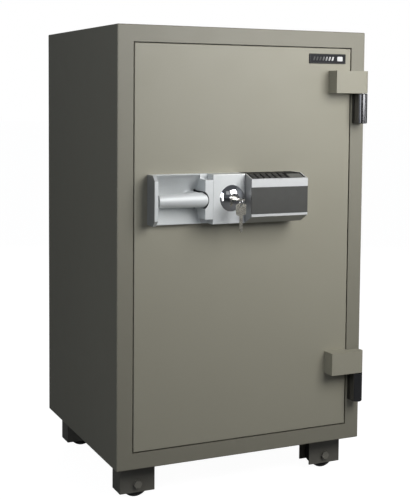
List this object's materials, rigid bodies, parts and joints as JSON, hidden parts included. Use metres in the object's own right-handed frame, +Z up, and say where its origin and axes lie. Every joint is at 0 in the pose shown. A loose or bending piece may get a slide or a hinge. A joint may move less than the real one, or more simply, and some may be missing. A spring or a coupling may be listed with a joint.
{
  "type": "fire safe",
  "caption": "Free-standing upright safe on rollers, with a hinged door, lever handle in a hand scoop, key lock, keypad, sliding bolts and shelves inside.",
  "frame": {"origin": "centre of the whole box's bottom, on the floor under the safe", "axes": "+X to the right seen from the front, +Y from the door to the back, +Z up"},
  "size_m": [0.572, 0.5716, 0.9765],
  "materials": {
    "body_paint": "satin",
    "inner_paint": "satin",
    "fire_filling": "matte",
    "bracket_paint": "satin",
    "roller_moulding": "satin",
    "silver_casting": "satin",
    "silver_moulding": "satin",
    "charcoal_moulding": "satin",
    "black_moulding": "satin",
    "button_moulding": "satin",
    "display_lens": "gloss",
    "badge_face": "gloss",
    "bright_chrome": "polished",
    "plain_steel": "satin",
    "key_nickel": "satin",
    "seal_strip": "matte",
    "cell_jacket": "satin",
    "circuit_laminate": "satin",
    "coil_case": "satin"
  },
  "bodies": {
    "carcass": {"outer_shell": "body_paint", "door_frame": "body_paint", "body_fill": "fire_filling", "inner_liner": "inner_paint", "shelf_lower": "inner_paint", "shelf_upper": "inner_paint", "shelf_clips": "plain_steel", "foot_brackets": "bracket_paint", "axle_bolts": "bracket_paint", "axle_nuts": "bracket_paint", "hinge_knuckles": "bright_chrome", "hinge_pins": "plain_steel"},
    "door": {"door_shell": "body_paint", "door_fill": "fire_filling", "door_inner_pan": "inner_paint", "door_seal": "seal_strip", "door_inner_cover": "inner_paint", "cover_screws": "plain_steel", "fixed_bolts": "plain_steel", "hinge_blocks": "body_paint", "badge_plate": "badge_face", "bolt_guides": "plain_steel", "solenoid": "coil_case", "handle_housing": "silver_casting", "lock_rose": "bright_chrome", "lock_cylinder": "plain_steel", "lock_case": "plain_steel", "keypad_housing": "silver_moulding", "batteries": "cell_jacket", "keypad_face": "black_moulding", "display_window": "display_lens", "circuit_board": "circuit_laminate"},
    "handle": {"handle_lever": "silver_casting", "handle_spindle": "plain_steel", "handle_crank": "plain_steel"},
    "bolt_work": {"bolt_bar": "plain_steel", "locking_bolts": "plain_steel"},
    "lock_barrel": {"lock_plug": "plain_steel", "lock_cam": "plain_steel"},
    "plunger": {"solenoid_plunger": "plain_steel"},
    "key_in_lock": {"key": "key_nickel"},
    "ring": {"key_ring": "plain_steel"},
    "hanging_key": {"spare_key": "key_nickel"},
    "cover_panel": {"battery_cover": "charcoal_moulding"},
    "key_01": {"button_01": "button_moulding"},
    "key_02": {"button_02": "button_moulding"},
    "key_03": {"button_03": "button_moulding"},
    "key_04": {"button_04": "button_moulding"},
    "key_05": {"button_05": "button_moulding"},
    "key_06": {"button_06": "button_moulding"},
    "key_07": {"button_07": "button_moulding"},
    "key_08": {"button_08": "button_moulding"},
    "key_09": {"button_09": "button_moulding"},
    "key_10": {"button_10": "button_moulding"},
    "key_11": {"button_11": "button_moulding"},
    "key_12": {"button_12": "button_moulding"},
    "roller_front_left": {"wheel_front_left": "roller_moulding"},
    "roller_front_right": {"wheel_front_right": "roller_moulding"},
    "roller_rear_left": {"wheel_rear_left": "roller_moulding"},
    "roller_rear_right": {"wheel_rear_right": "roller_moulding"}
  },
  "joints": [
    {"name": "door_swing", "type": "hinge", "parent": "carcass", "child": "door", "pos_m": [0.267, -0.21915, 0.1675], "axis": [0, 0, 1], "range_deg": [0, 180]},
    {"name": "handle_turn", "type": "hinge", "parent": "door", "child": "handle", "pos_m": [-0.1255, -0.22515, 0.626], "axis": [0, -1, 0], "range_deg": [0, 60]},
    {"name": "bolt_throw", "type": "slide", "parent": "door", "child": "bolt_work", "axis": [-1, 0, 0], "range_m": [0, 0.01801]},
    {"name": "lock_turn", "type": "hinge", "parent": "door", "child": "lock_barrel", "pos_m": [-0.052, -0.24915, 0.6285], "axis": [0, -1, 0], "range_deg": [0, 90]},
    {"name": "plunger_drop", "type": "slide", "parent": "door", "child": "plunger", "axis": [0, 0, -1], "range_m": [0, 0.008], "stiffness_N_per_m": 60, "springref_m": -0.003},
    {"name": "key_pull", "type": "slide", "parent": "lock_barrel", "child": "key_in_lock", "axis": [0, -1, 0], "range_m": [0, 0.04]},
    {"name": "ring_swing", "type": "hinge", "parent": "key_in_lock", "child": "ring", "pos_m": [-0.052, -0.27275, 0.6285], "axis": [0, 1, 0], "range_deg": [-24, 24]},
    {"name": "hanging_key_swing", "type": "hinge", "parent": "ring", "child": "hanging_key", "pos_m": [-0.052, -0.27845, 0.6173], "axis": [0, 1, 0], "range_deg": [-70, 70]},
    {"name": "battery_cover_slide", "type": "slide", "parent": "door", "child": "cover_panel", "axis": [1, 0, 0], "range_m": [0, 0.12]},
    {"name": "button_01_press", "type": "slide", "parent": "door", "child": "key_01", "axis": [0, 0.3113, -0.9503], "range_m": [0, 0.001], "stiffness_N_per_m": 300, "springref_m": -0.001},
    {"name": "button_02_press", "type": "slide", "parent": "door", "child": "key_02", "axis": [0, 0.3113, -0.9503], "range_m": [0, 0.001], "stiffness_N_per_m": 300, "springref_m": -0.001},
    {"name": "button_03_press", "type": "slide", "parent": "door", "child": "key_03", "axis": [0, 0.3113, -0.9503], "range_m": [0, 0.001], "stiffness_N_per_m": 300, "springref_m": -0.001},
    {"name": "button_04_press", "type": "slide", "parent": "door", "child": "key_04", "axis": [0, 0.3113, -0.9503], "range_m": [0, 0.001], "stiffness_N_per_m": 300, "springref_m": -0.001},
    {"name": "button_05_press", "type": "slide", "parent": "door", "child": "key_05", "axis": [0, 0.3113, -0.9503], "range_m": [0, 0.001], "stiffness_N_per_m": 300, "springref_m": -0.001},
    {"name": "button_06_press", "type": "slide", "parent": "door", "child": "key_06", "axis": [0, 0.3113, -0.9503], "range_m": [0, 0.001], "stiffness_N_per_m": 300, "springref_m": -0.001},
    {"name": "button_07_press", "type": "slide", "parent": "door", "child": "key_07", "axis": [0, 0.3113, -0.9503], "range_m": [0, 0.001], "stiffness_N_per_m": 300, "springref_m": -0.001},
    {"name": "button_08_press", "type": "slide", "parent": "door", "child": "key_08", "axis": [0, 0.3113, -0.9503], "range_m": [0, 0.001], "stiffness_N_per_m": 300, "springref_m": -0.001},
    {"name": "button_09_press", "type": "slide", "parent": "door", "child": "key_09", "axis": [0, 0.3113, -0.9503], "range_m": [0, 0.001], "stiffness_N_per_m": 300, "springref_m": -0.001},
    {"name": "button_10_press", "type": "slide", "parent": "door", "child": "key_10", "axis": [0, 0.3113, -0.9503], "range_m": [0, 0.001], "stiffness_N_per_m": 300, "springref_m": -0.001},
    {"name": "button_11_press", "type": "slide", "parent": "door", "child": "key_11", "axis": [0, 0.3113, -0.9503], "range_m": [0, 0.001], "stiffness_N_per_m": 300, "springref_m": -0.001},
    {"name": "button_12_press", "type": "slide", "parent": "door", "child": "key_12", "axis": [0, 0.3113, -0.9503], "range_m": [0, 0.001], "stiffness_N_per_m": 300, "springref_m": -0.001},
    {"name": "wheel_front_left_spin", "type": "hinge", "parent": "carcass", "child": "roller_front_left", "pos_m": [-0.225, -0.13215, 0.0305], "axis": [0, 1, 0], "continuous": true},
    {"name": "wheel_front_right_spin", "type": "hinge", "parent": "carcass", "child": "roller_front_right", "pos_m": [0.225, -0.13215, 0.0305], "axis": [0, 1, 0], "continuous": true},
    {"name": "wheel_rear_left_spin", "type": "hinge", "parent": "carcass", "child": "roller_rear_left", "pos_m": [-0.225, 0.22985, 0.0305], "axis": [0, 1, 0], "continuous": true},
    {"name": "wheel_rear_right_spin", "type": "hinge", "parent": "carcass", "child": "roller_rear_right", "pos_m": [0.225, 0.22985, 0.0305], "axis": [0, 1, 0], "continuous": true}
  ],
  "couplings": [
    {"joint": "bolt_throw", "follows": "handle_turn", "m_per_rad": 0.017189}
  ]
}
